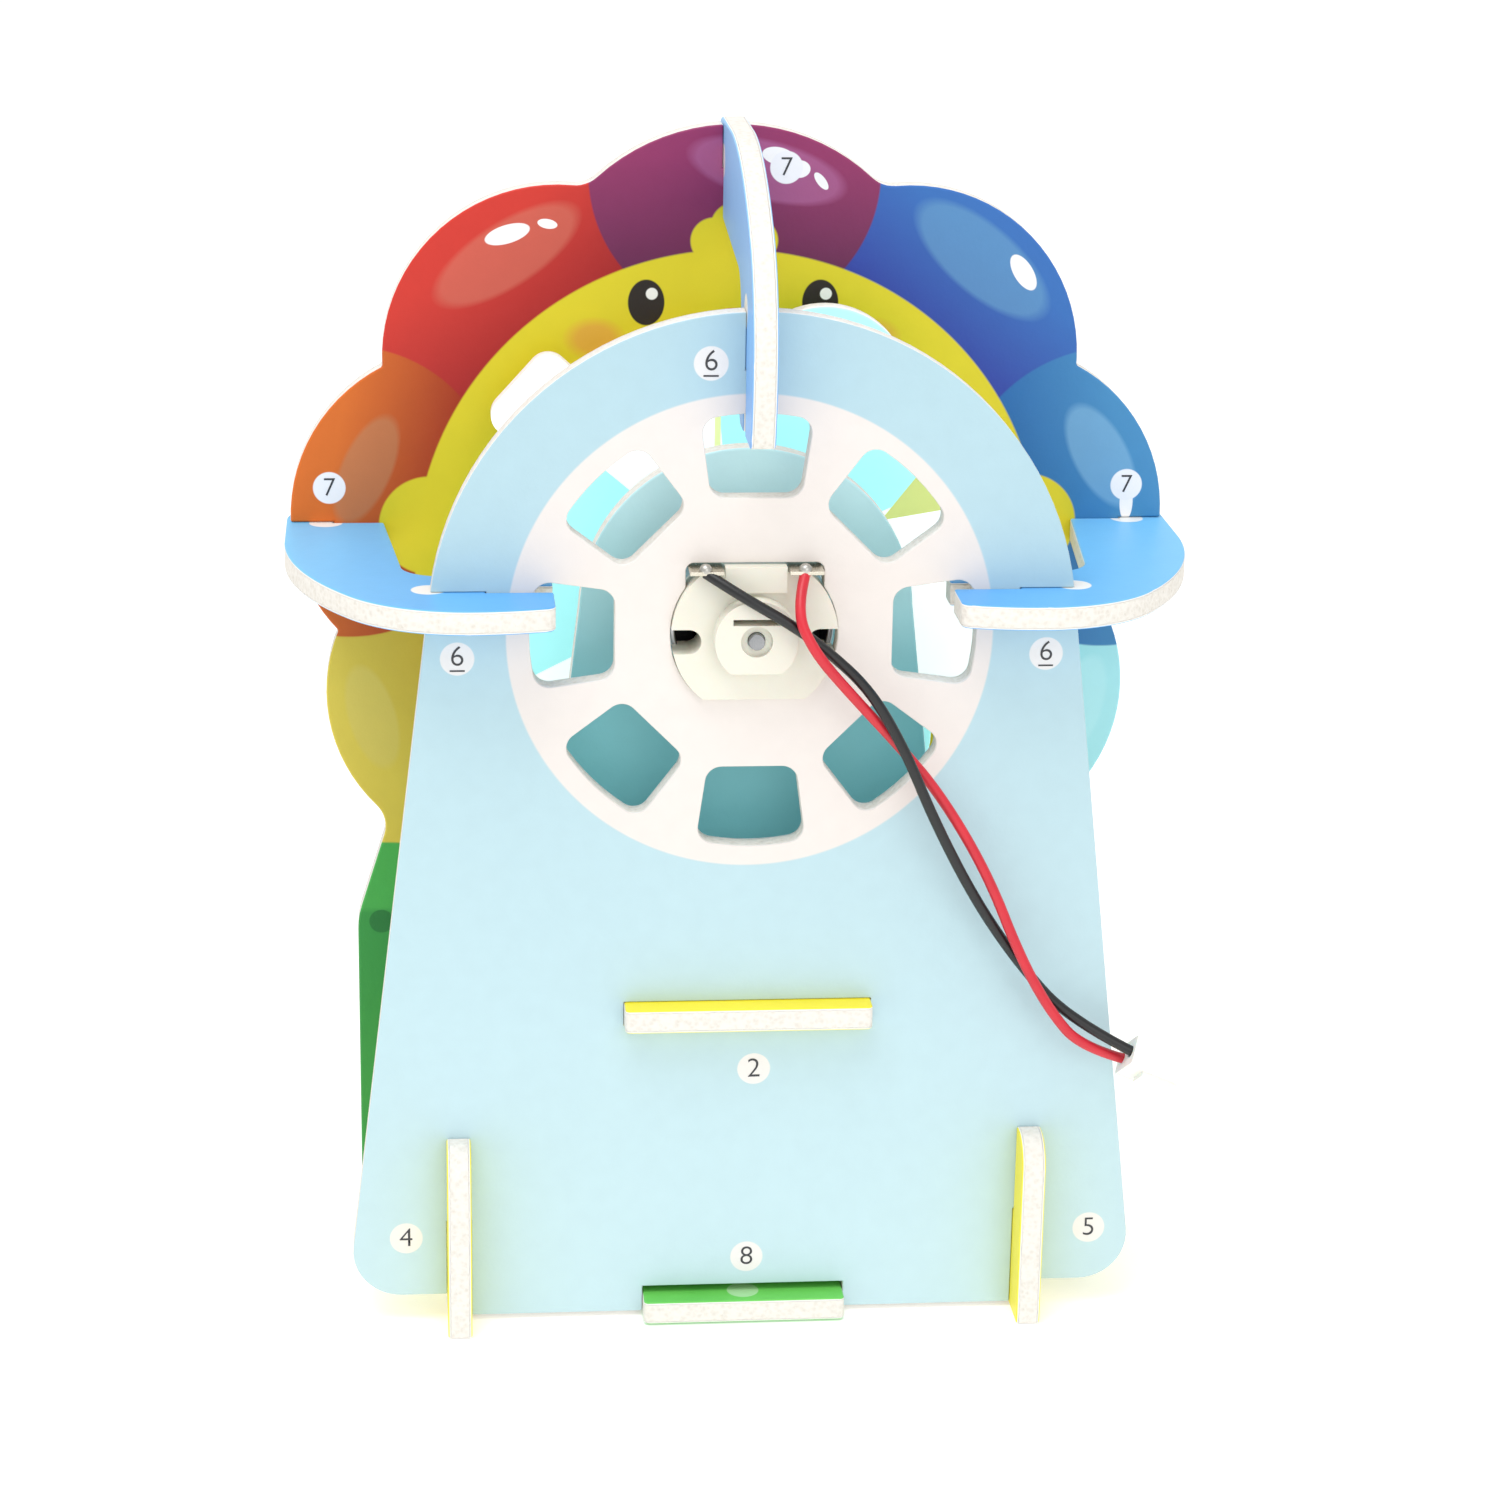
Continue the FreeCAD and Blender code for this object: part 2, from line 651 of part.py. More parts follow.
def make_magnet(label, side):
    """One arc-shaped ferrite magnet, held against the round side of the case."""
    magnet = new_body(label, height="axis_height")
    inner, outer = size("magnet_inner"), size("magnet_outer")
    turn = math.radians(size("magnet_half_angle"))

    def draw(sketch):
        def place(radius, angle):
            return (side * radius * math.cos(angle), radius * math.sin(angle))
        closed_chain(sketch, [
            arc_through(place(outer, -turn), place(outer, 0), place(outer, turn)),
            line(place(outer, turn), place(inner, turn)),
            arc_through(place(inner, turn), place(inner, 0), place(inner, -turn)),
            line(place(inner, -turn), place(outer, -turn)),
        ])

    slab(magnet, "arc", "magnet_near", "magnet_near + magnet_length", draw)
    return magnet


def make_box(label, left, right, near, far, bottom, top):
    """A small square-cut piece between six planes."""
    piece = new_body(label, height="axis_height")
    slab(piece, "block", near, far, lambda s: rectangle(s, left, right, bottom, top))
    return piece


def make_core():
    """The laminated three-pole core of the armature."""
    core = new_body("armature_core", height="axis_height")
    far = "core_near + core_length"
    slab(core, "disc", "core_near", far, lambda s: circle(s, "core_radius"))
    bite(core, "bore", "core_near - 1", far + " + 1", lambda s: circle(s, "shaft_radius + seat"))

    def draw(sketch):
        def arm_side(reach):
            return ("%s * cos(30deg) - arm_half * sin(30deg)" % reach,
                    "-%s * sin(30deg) - arm_half * cos(30deg)" % reach)
        root_x, root_y = arm_side("arm_root")
        shoe_x, shoe_y = arm_side("arm_shoe")
        polygon(sketch, [("-(%s)" % root_x, root_y), ("-(%s)" % shoe_x, shoe_y),
                         ("-pole_gap_half", "-core_radius * 0.8"), ("-pole_gap_half", "-core_radius * 1.1"),
                         ("pole_gap_half", "-core_radius * 1.1"), ("pole_gap_half", "-core_radius * 0.8"),
                         (shoe_x, shoe_y), (root_x, root_y)])

    space = bite(core, "winding_space", "core_near - 1", far + " + 1", draw)
    around(core, [space], "Y_Axis", "poles", "360", "winding_spaces")
    return core


def make_coil(label, turn):
    """One enamelled copper coil round one arm of the core."""
    coil = new_body(label, depth="core_near + core_length / 2", height="axis_height",
                    rotation=FreeCAD.Rotation(DEPTH, turn))
    sketch = new_sketch(coil, "coil_outline", "XY_Plane", "(coil_low + coil_high) / 2")
    rectangle(sketch, "-coil_half", "coil_half",
              "-core_length / 2 - coil_overhang", "core_length / 2 + coil_overhang")
    pad(coil, sketch, "coil_high - coil_low", "coil")
    round_corners(coil, "coil_overhang", UP, lambda p: True, "coil_corners")
    sketch = new_sketch(coil, "arm_outline", "XY_Plane", "(coil_low + coil_high) / 2")
    rectangle(sketch, "-arm_half - gap", "arm_half + gap", "-core_length / 2 - gap", "core_length / 2 + gap")
    pocket(coil, sketch, "coil_high * 2", "arm_room")
    return coil


def make_commutator():
    """The copper commutator with three slits between its segments."""
    far = "commutator_near + commutator_length"
    part = make_ring("commutator", "commutator_radius", "shaft_radius + seat", "commutator_near", far)
    slit = bite(part, "slit", "commutator_near - 1", far + " + 1",
                lambda s: rectangle(s, "-0.15", "0.15", "commutator_radius * 0.8", "commutator_radius * 1.2"))
    around(part, [slit], "Y_Axis", "poles", "360", "slits")
    return part


def make_shaft():
    shaft = new_body("motor_shaft", height="axis_height")
    slab(shaft, "rod", "shaft_near", "shaft_far", lambda s: circle(s, "shaft_radius"))
    return shaft


# ---------------------------------------------------------------- wheel

def make_wheel():
    """A board disc with three round domes and three square tabs between them."""
    wheel = new_body("spinner_wheel", depth="wheel_depth", height="axis_height")
    sketch = new_sketch(wheel, "disc_outline", "XZ_Plane")
    circle(sketch, "wheel_radius")
    pad(wheel, sketch, name="disc")
    sketch = new_sketch(wheel, "dome_outline", "XZ_Plane")
    circle(sketch, "dome_radius",
           "dome_reach * cos(dome_angle * 1deg)", "dome_reach * sin(dome_angle * 1deg)")
    dome = pad(wheel, sketch, name="dome")
    sketch = new_sketch(wheel, "tab_outline", "XZ_Plane")
    corners = []
    for reach, half in (("tab_reach", "-tab_half"), ("tab_reach", "tab_half"),
                        ("wheel_radius / 2", "tab_half"), ("wheel_radius / 2", "-tab_half")):
        corners.append(("%s * cos(tab_angle * 1deg) - (%s) * sin(tab_angle * 1deg)" % (reach, half),
                        "%s * sin(tab_angle * 1deg) + (%s) * cos(tab_angle * 1deg)" % (reach, half)))
    polygon(sketch, corners)
    tab = pad(wheel, sketch, name="tab")
    around(wheel, [dome, tab], "Y_Axis", "poles", "360", "lobes")
    corner = math.hypot(size("tab_reach"), size("tab_half"))
    round_corners(wheel, "tab_corner", DEPTH, lambda p: close(math.hypot(p.x, p.z), corner), "tab_corners")
    sketch = new_sketch(wheel, "hub_hole", "XZ_Plane")
    circle(sketch, "hub_radius + gap")
    pocket(wheel, sketch, name="hub_cut")
    return wheel


def make_hub():
    hub = new_body("wheel_hub", height="axis_height")
    rear, front = "wheel_depth - board / 2", "wheel_depth + board / 2"
    slab(hub, "flange", rear + " - hub_flange", rear, lambda s: circle(s, "hub_flange_radius"))
    slab(hub, "boss", rear + " - hub_flange / 2", front + " + hub_proud", lambda s: circle(s, "hub_radius"))
    bite(hub, "bore", rear + " - hub_flange - 1", front + " + hub_proud + 1",
         lambda s: circle(s, "shaft_radius + seat"))
    return hub


# ---------------------------------------------------------------- leads and connector

def bent_wire(label, points):
    """A round wire of straight runs and tangent arcs, and its length and bend radii."""
    radius = size("lead_diameter") / 2
    points = [V(*point) for point in points]
    edges, radii = [], []
    start = points[0]
    for before, corner, after in zip(points, points[1:], points[2:]):
        arriving, leaving = corner - before, after - corner
        trim = 0.45 * min(arriving.Length, leaving.Length)
        turn = arriving.getAngle(leaving)
        radii.append(trim / math.tan(turn / 2))
        arriving.normalize()
        leaving.normalize()
        enter, leave = corner - arriving * trim, corner + leaving * trim
        bisector = (leaving - arriving).normalize()
        middle = corner + bisector * (radii[-1] / math.cos(turn / 2) - radii[-1])
        edges.append(Part.LineSegment(start, enter).toShape())
        edges.append(Part.Arc(enter, middle, leave).toShape())
        start = leave
    edges.append(Part.LineSegment(start, points[-1]).toShape())
    path = Part.Wire(edges)
    section = Part.Wire([Part.Circle(points[0], points[1] - points[0], radius).toShape()])
    tube = path.makePipeShell([section], True, False)
    expected = math.pi * radius ** 2 * path.Length
    wire = doc.addObject("Part::Feature", label)
    wire.Label = label
    wire.Shape = tube
    print("%s: length %.1f, volume %.2f against %.2f, smallest bend radius %.1f"
          % (label, path.Length, tube.Volume, expected, min(radii)))
    print("  bend radii", ["%.1f" % bend for bend in radii])
    return wire


BLACK_ROUTE = [
    (-6.1, -19.4, 97.6), (-1.9, -21.8, 95.3), (3.8, -22.4, 92.1), (8.1, -22.3, 88.9), (13.6, -22.4, 83.8),
    (17.9, -23.2, 76.4), (21.6, -22.8, 67.6), (27.2, -21.9, 56.8), (33.2, -21.1, 47.9), (39.8, -21.1, 40.5),
    (48.2, -22.6, 36.4),
]
RED_ROUTE = [
    (5.8, -19.4, 97.6), (4.3, -23.0, 93.9), (6.5, -24.7, 89.2), (11.1, -23.3, 83.6), (17.0, -20.8, 76.8),
    (22.6, -21.0, 70.2), (28.6, -21.9, 60.2), (32.9, -22.7, 49.6), (36.9, -22.8, 42.4), (41.2, -22.0, 37.2),
    (47.6, -20.6, 34.8),
]


def make_connector():
    """A two-way white housing on the ends of the leads, with its two contacts."""
    black_end, red_end = V(*BLACK_ROUTE[-1]), V(*RED_ROUTE[-1])
    middle = (black_end + red_end) * 0.5
    across = (black_end - red_end).normalize()
    along = V(*BLACK_ROUTE[-1]) - V(*BLACK_ROUTE[-2]) + V(*RED_ROUTE[-1]) - V(*RED_ROUTE[-2])
    along = (along - across * along.dot(across)).normalize()
    turned = FreeCAD.Rotation(across, along.cross(across), along, "ZXY")
    width, thickness, length = size("housing_width"), size("housing_thickness"), size("housing_length")
    entry = 1.0
    pitch = (black_end - red_end).Length
    block = Part.makeBox(width, thickness, length, V(-width / 2, -thickness / 2, -entry))
    block = block.makeFillet(0.4, [edge for edge in block.Edges if abs(edge.tangentAt(0).z) > 0.9])
    for side in (-1, 1):
        wire_hole = Part.makeCylinder(0.75, entry, V(side * pitch / 2, 0, -entry))
        cavity = Part.makeBox(1.6, 1.6, length, V(side * pitch / 2 - 0.8, -0.8, 0))
        block = block.cut(wire_hole).cut(cavity)
    rib = Part.makeBox(width / 2, 0.6, length * 0.6, V(-width / 4, thickness / 2, length * 0.15))
    block = block.fuse(rib).removeSplitter()
    pieces = [("connector_housing", block, V())]
    for name, end in (("black_contact", black_end), ("red_contact", red_end)):
        contact = Part.makeBox(1.1, 1.1, length - entry - 1.0, V(-0.55, -0.55, 0))
        pieces.append((name, contact, end - middle))
    for name, shape, shift in pieces:
        piece = doc.addObject("Part::Feature", name)
        piece.Label = name
        piece.Shape = shape
        piece.Placement = FreeCAD.Placement(middle + shift, turned)


def make_solder(label, point):
    blob = doc.addObject("Part::Sphere", label)
    blob.Label = label
    blob.setExpression("Radius", linked("lead_diameter * 0.62"))
    blob.Placement.Base = V(*point) + V(0, 0, 0.35)


# ---------------------------------------------------------------- put together

make_back_panel()
make_middle_panel()
make_front_panel()
make_strut("right_strut", FreeCAD.Rotation(), "axis_height + strut_rise")
make_strut("left_strut", FreeCAD.Rotation(DEPTH, 180), "axis_height + strut_rise")
make_strut("top_strut", FreeCAD.Rotation(DEPTH, -90), "axis_height")
make_support("support_left", "-")
make_support("support_right", "")
make_shelf()
make_deck("base_plate", "board / 2", "base_half", "base_tab_half", "shelf_tab_near", "shelf_tab_far")

make_can()
make_end_cap()
make_ring("rear_bearing", "bearing_radius", "shaft_radius + running", "cap_bearing + gap", "can_near - 1")
make_ring("front_bearing", "bearing_radius", "shaft_radius + running",
          "can_far - 1.4", "can_far + can_boss - 0.1")
make_magnet("magnet_left", -1)
make_magnet("magnet_right", 1)
for side, sign in (("left", "-"), ("right", "")):
    middle = sign + "terminal_offset"
    make_box("terminal_" + side, middle + " - terminal_half", middle + " + terminal_half",
             "cap_face - terminal_proud", "can_near - 0.1",
             "cap_half + gap", "cap_half + gap + terminal_thick")
    inner = sign + "(commutator_radius + brush_gap)"
    outer = sign + "(commutator_radius + brush_gap + brush_thick)"
    make_box("brush_" + side, inner, outer, "commutator_near + 0.8", "commutator_near + 2.6",
             "-commutator_radius", "can_half - can_wall - 0.3")

make_shaft()
make_core()
for number in range(3):
    make_coil("coil_%d" % (number + 1), 120 * number)
make_commutator()
make_wheel()
make_hub()
make_ring("wheel_clip", "clip_radius", "hub_radius + seat", "wheel_depth + board / 2 + gap",
          "wheel_depth + board / 2 + gap + clip_thick")

bent_wire("black_lead", BLACK_ROUTE)
bent_wire("red_lead", RED_ROUTE)
make_solder("solder_left", BLACK_ROUTE[0])
make_solder("solder_right", RED_ROUTE[0])
make_connector()

doc.recompute()

os.makedirs("parts", exist_ok=True)
faults = [item.Label for item in doc.Objects if "Invalid" in item.State or "Error" in item.State]
nodes = [item for item in doc.Objects
         if item.TypeId in ("PartDesign::Body", "Part::Feature", "Part::Sphere")]
faults += [item.Label for item in nodes if item.Shape.isNull() or not item.Shape.isValid()]
if faults:
    raise ValueError("failed: " + ", ".join(faults))
for item in nodes:
    item.Shape.exportStep("parts/%s.step" % item.Label)
print(len(nodes), "nodes written")
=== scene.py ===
import math

import bpy
from mathutils import Matrix, Vector


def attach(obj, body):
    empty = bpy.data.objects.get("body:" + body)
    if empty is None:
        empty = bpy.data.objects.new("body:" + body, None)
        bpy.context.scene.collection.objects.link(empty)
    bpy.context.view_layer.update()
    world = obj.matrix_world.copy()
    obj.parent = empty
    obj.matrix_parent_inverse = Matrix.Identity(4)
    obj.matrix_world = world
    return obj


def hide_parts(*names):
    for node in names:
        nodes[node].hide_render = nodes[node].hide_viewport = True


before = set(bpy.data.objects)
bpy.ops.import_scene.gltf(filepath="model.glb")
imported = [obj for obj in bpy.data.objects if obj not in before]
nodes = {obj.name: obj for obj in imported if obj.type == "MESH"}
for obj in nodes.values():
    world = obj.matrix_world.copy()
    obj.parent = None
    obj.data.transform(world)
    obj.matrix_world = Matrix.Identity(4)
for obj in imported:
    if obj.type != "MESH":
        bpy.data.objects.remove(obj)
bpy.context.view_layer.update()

scene = bpy.context.scene
scene.view_settings.view_transform = "Standard"


# ---- Studio -------------------------------------------------------------------------
# A white laminate table top that runs out of sight under a white room, with a big panel
# overhead and a softer one behind the camera. Top and walls glow a little, to read as white.

def paint(code):
    """A hex colour from a paint chart, turned to the linear values that shaders use."""
    parts = [int(code[i:i + 2], 16) / 255 for i in (1, 3, 5)]
    return [p / 12.92 if p <= 0.04045 else ((p + 0.055) / 1.055) ** 2.4 for p in parts] + [1.0]


def add(tree, kind, sockets=None, **settings):
    """A new node with its settings, and its sockets linked or filled in."""
    made = tree.nodes.new(kind)
    for name, value in settings.items():
        setattr(made, name, value)
    for key, value in (sockets or {}).items():
        if isinstance(value, bpy.types.NodeSocket):
            tree.links.new(value, made.inputs[key])
        else:
            made.inputs[key].default_value = value
    return made


def new_material(name):
    """An empty material and its node tree with the output in place."""
    material = bpy.data.materials.new(name)
    material.use_nodes = True
    material.node_tree.nodes.clear()
    return material, material.node_tree


def coat(tree, colour, roughness, bump=None, bump_mm=0.05, **sockets):
    """The closing shader of a material."""
    fill = {"Base Color": colour, "Roughness": roughness}
    fill.update({key.replace("_", " "): value for key, value in sockets.items()})
    if bump is not None:
        relief = add(tree, "ShaderNodeBump", {"Height": bump, "Distance": bump_mm / 1000, "Strength": 1.0})
        fill["Normal"] = relief.outputs[0]
    shader = add(tree, "ShaderNodeBsdfPrincipled", fill)
    add(tree, "ShaderNodeOutputMaterial", {"Surface": shader.outputs[0]})


laminate, tree = new_material("white_table_laminate")
place = add(tree, "ShaderNodeTexCoord").outputs["Object"]
grain = add(tree, "ShaderNodeTexNoise", {"Vector": place, "Scale": 900.0, "Detail": 3.0})
tint = add(tree, "ShaderNodeMix", {0: grain.outputs[0], 6: paint("#FBFBF9"), 7: paint("#F7F7F5")},
           data_type="RGBA")
table_glow = 0.27
coat(tree, tint.outputs[2], 0.55, grain.outputs[0], 0.02, Emission_Color=(1, 1, 1, 1),
     Emission_Strength=table_glow)
table_reach = 4.0
table_height = -0.0002
table_mesh = bpy.data.meshes.new("table_top")
table_mesh.from_pydata([(across * table_reach, depth * table_reach, table_height)
                        for across, depth in ((-1, -1), (1, -1), (1, 1), (-1, 1))], [], [(0, 1, 2, 3)])
table_mesh.materials.append(laminate)
table_top = bpy.data.objects.new("table_top", table_mesh)
scene.collection.objects.link(table_top)

room_light, room_seen = 0.80, 1.1
room = bpy.data.worlds.new("white_room")
room.use_nodes = True
room.node_tree.nodes.clear()
seen = add(room.node_tree, "ShaderNodeLightPath").outputs["Is Camera Ray"]
strength = add(room.node_tree, "ShaderNodeMapRange", {0: seen, 3: room_light, 4: room_seen})
walls = add(room.node_tree, "ShaderNodeBackground", {"Color": (1, 1, 1, 1), "Strength": strength.outputs[0]})
add(room.node_tree, "ShaderNodeOutputWorld", {"Surface": walls.outputs[0]})
scene.world = room


def light_panel(name, at, toward, size, power):
    """A square lamp that faces a point."""
    lamp = bpy.data.lights.new(name, "AREA")
    lamp.shape = "SQUARE"
    lamp.size = size
    lamp.energy = power
    holder = bpy.data.objects.new(name, lamp)
    holder.location = at
    holder.rotation_euler = (Vector(toward) - Vector(at)).to_track_quat("-Z", "Y").to_euler()
    scene.collection.objects.link(holder)


light_panel("overhead_panel", at=(-0.2, -0.25, 0.95), toward=(0, 0, 0.06), size=0.6, power=5.0)
light_panel("rear_panel", at=(0.35, -1.1, 0.55), toward=(0, 0, 0.08), size=0.7, power=2.6)

# how far the camera turns to its right, dips below level and leans over
turn, dip, lean = math.radians(5.55), math.radians(17.58), math.radians(-1.0)
camera_place = (-0.0413, -0.4396, 0.20935)
sight = Vector((math.sin(turn) * math.cos(dip), math.cos(turn) * math.cos(dip), -math.sin(dip)))
level = Vector((math.cos(turn), -math.sin(turn), 0))
drop = sight.cross(level)
side = math.cos(lean) * level + math.sin(lean) * drop
rise = math.sin(lean) * level - math.cos(lean) * drop
camera = bpy.data.objects.new("camera", bpy.data.cameras.new("camera"))
camera.data.lens = 88.3
camera.data.sensor_width = 36.0
camera.data.clip_start = 0.01
turned = Matrix((side, rise, -sight)).transposed().to_4x4()
camera.matrix_world = Matrix.Translation(camera_place) @ turned
scene.collection.objects.link(camera)
scene.camera = camera


# ---- Leads and connector --------------------------------------------------------------
# Two 1.3 mm stranded leads in soft vinyl, soldered to the motor's terminals, twisted
# loosely round each other and crimped into a small white two-way connector.

LEAD_DIAMETER = 0.0013
BLACK_ROUTE = [
    (-6.1, -19.4, 97.6), (-1.9, -21.8, 95.3), (3.8, -22.4, 92.1), (8.1, -22.3, 88.9), (13.6, -22.4, 83.8),
    (17.9, -23.2, 76.4), (21.6, -22.8, 67.6), (27.2, -21.9, 56.8), (33.2, -21.1, 47.9), (39.8, -21.1, 40.5),
    (48.2, -22.6, 36.4),
]
RED_ROUTE = [
    (5.8, -19.4, 97.6), (4.3, -23.0, 93.9), (6.5, -24.7, 89.2), (11.1, -23.3, 83.6), (17.0, -20.8, 76.8),
    (22.6, -21.0, 70.2), (28.6, -21.9, 60.2), (32.9, -22.7, 49.6), (36.9, -22.8, 42.4), (41.2, -22.0, 37.2),
    (47.6, -20.6, 34.8),
]


def soft_vinyl(name, colour, dark):
    """Extruded plasticised PVC: a satin skin with faint drag lines and scuffed patches."""
    material, tree = new_material(name)
    place = add(tree, "ShaderNodeTexCoord").outputs["Object"]
    scuff = add(tree, "ShaderNodeTexNoise", {"Vector": place, "Scale": 260.0, "Detail": 5.0})
    drag = add(tree, "ShaderNodeTexNoise", {"Vector": place, "Scale": 1500.0, "Detail": 2.0})
    tint = add(tree, "ShaderNodeMix", {0: scuff.outputs[0], 6: paint(dark), 7: paint(colour)},
               data_type="RGBA")
    gloss = add(tree, "ShaderNodeMapRange", {0: scuff.outputs[0], 3: 0.28, 4: 0.48})
    coat(tree, tint.outputs[2], gloss.outputs[0], drag.outputs[0], 0.02, IOR=1.53)
    return material


def lead(name, route, colour_name, colour, dark, cad_node):
    """One lead along its route, from its solder joint to its contact in the connector."""
    curve = bpy.data.curves.new(name, "CURVE")
    curve.dimensions = "3D"
    spline = curve.splines.new("NURBS")
    spline.points.add(len(route) - 1)
    for point, (x, y, z) in zip(spline.points, route):
        point.co = (x / 1000, y / 1000, z / 1000, 1)
    spline.order_u = 3
    spline.use_endpoint_u = True
    curve.resolution_u = 16
    curve.bevel_depth = LEAD_DIAMETER / 2
    curve.bevel_resolution = 6
    curve.use_fill_caps = True
    curve.materials.append(soft_vinyl(colour_name, colour, dark))
    made = bpy.data.objects.new(name, curve)
    scene.collection.objects.link(made)
    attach(made, "root")
    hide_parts(cad_node)


lead("black_lead_wire", BLACK_ROUTE, "black_soft_vinyl", "#131416", "#0B0C0E", "black_lead")
lead("red_lead_wire", RED_ROUTE, "red_soft_vinyl", "#D92132", "#B8142A", "red_lead")


def moulded_nylon(name, colour, shade, roughness=0.42):
    """Injection-moulded nylon: creamy, slightly cloudy, with a fine spark-eroded grain."""
    material, tree = new_material(name)
    place = add(tree, "ShaderNodeTexCoord").outputs["Object"]
    cloud = add(tree, "ShaderNodeTexNoise", {"Vector": place, "Scale": 180.0, "Detail": 4.0})
    spark = add(tree, "ShaderNodeTexNoise", {"Vector": place, "Scale": 4000.0, "Detail": 2.0})
    tint = add(tree, "ShaderNodeMix", {0: cloud.outputs[0], 6: paint(shade), 7: paint(colour)},
               data_type="RGBA")
    gloss = add(tree, "ShaderNodeMapRange", {0: cloud.outputs[0], 3: roughness - 0.06, 4: roughness + 0.08})
    coat(tree, tint.outputs[2], gloss.outputs[0], spark.outputs[0], 0.01, IOR=1.53,
         Subsurface_Weight=0.15, Subsurface_Scale=0.001)
    return material


def metal(name, colour, shade, low, high, streak=(1.0, 1.0, 1.0), grain_mm=0.3):
    """A bare metal whose grain has a real width, drawn out along one direction."""
    material, tree = new_material(name)
    place = add(tree, "ShaderNodeTexCoord").outputs["Object"]
    drawn = add(tree, "ShaderNodeMapping", {"Vector": place, "Scale": streak})
    grain = add(tree, "ShaderNodeTexNoise",
                {"Vector": drawn.outputs[0], "Scale": 1000 / grain_mm, "Detail": 3.0})
    stain = add(tree, "ShaderNodeTexNoise", {"Vector": place, "Scale": 350.0, "Detail": 3.0})
    tint = add(tree, "ShaderNodeMix", {0: stain.outputs[0], 6: paint(shade), 7: paint(colour)},
               data_type="RGBA")
    gloss = add(tree, "ShaderNodeMapRange", {0: grain.outputs[0], 3: low, 4: high})
    coat(tree, tint.outputs[2], gloss.outputs[0], grain.outputs[0], 0.008, Metallic=1.0)
    return material


def dress(node, material):
    """Give a carried-over CAD node its material."""
    mesh = nodes[node].data
    mesh.materials.clear()
    mesh.materials.append(material)


tinned = metal("tinned_brass", "#E4DFD2", "#B9B29F", 0.2, 0.38)
dress("connector_housing", moulded_nylon("connector_nylon", "#F7F6F1", "#ECEBE4"))
dress("black_contact", tinned)
dress("red_contact", tinned)


# ---- Back board -----------------------------------------------------------------------
# A pale blue arch with a warm white disc round the motor, eight windows and number discs.
# Like every board it is 3 mm foam between two printed films, stamped out with a steel
# rule that rounds the films over a little and leaves a rough, crushed, cream-white edge.

# the wheel's axis above the table, and the depth of the middle of the back board
AXIS_MM = 89.5
BACK_MM = -15.75
HALF_BOARD_MM = 1.5


def soften(node, width_mm=0.28):
    """The rounded arris that the stamping rule leaves."""
    board = nodes[node]
    weld = board.modifiers.new("weld", "WELD")
    weld.merge_threshold = 0.00001
    flat = board.modifiers.new("flat_faces", "DECIMATE")
    flat.decimate_type = "DISSOLVE"
    flat.angle_limit = math.radians(1.0)
    arris = board.modifiers.new("stamped_arris", "BEVEL")
    arris.width = width_mm / 1000
    arris.segments = 3
    arris.limit_method = "ANGLE"
    arris.angle_limit = math.radians(50)
    arris.use_clamp_overlap = True
    arris.harden_normals = True


def board_place(tree):
    """Across, depth and height above the wheel's axis, all in millimetres."""
    place = add(tree, "ShaderNodeTexCoord").outputs["Object"]
    scaled = add(tree, "ShaderNodeVectorMath", {0: place, 1: (1000, 1000, 1000)}, operation="MULTIPLY")
    moved = add(tree, "ShaderNodeVectorMath", {0: scaled.outputs[0], 1: (0, 0, AXIS_MM)},
                operation="SUBTRACT")
    return add(tree, "ShaderNodeSeparateXYZ", {0: moved.outputs[0]}).outputs


def oval(tree, across, up, centre, half, tilt=0, blur=0.03):
    """1 inside a tilted oval and 0 outside it."""
    flat = add(tree, "ShaderNodeCombineXYZ", {0: across, 1: up})
    local = add(tree, "ShaderNodeMapping", {"Vector": flat.outputs[0], "Location": (*centre, 0),
                                            "Rotation": (0, 0, math.radians(tilt)), "Scale": (*half, 1)},
                vector_type="TEXTURE")
    reach = add(tree, "ShaderNodeVectorMath", {0: local.outputs[0]}, operation="LENGTH")
    inside = add(tree, "ShaderNodeMapRange",
                 {0: reach.outputs["Value"], 1: 1 - blur, 2: 1 + blur, 3: 1.0, 4: 0.0})
    return inside.outputs[0]


def over(tree, under, colour, mask, strength=1.0):
    """One ink printed over what is under it, where its mask says."""
    if strength < 1.0:
        mask = add(tree, "ShaderNodeMath", {0: mask, 1: strength}, operation="MULTIPLY").outputs[0]
    colour = paint(colour) if isinstance(colour, str) else colour
    return add(tree, "ShaderNodeMix", {0: mask, 6: under, 7: colour}, data_type="RGBA").outputs[2]


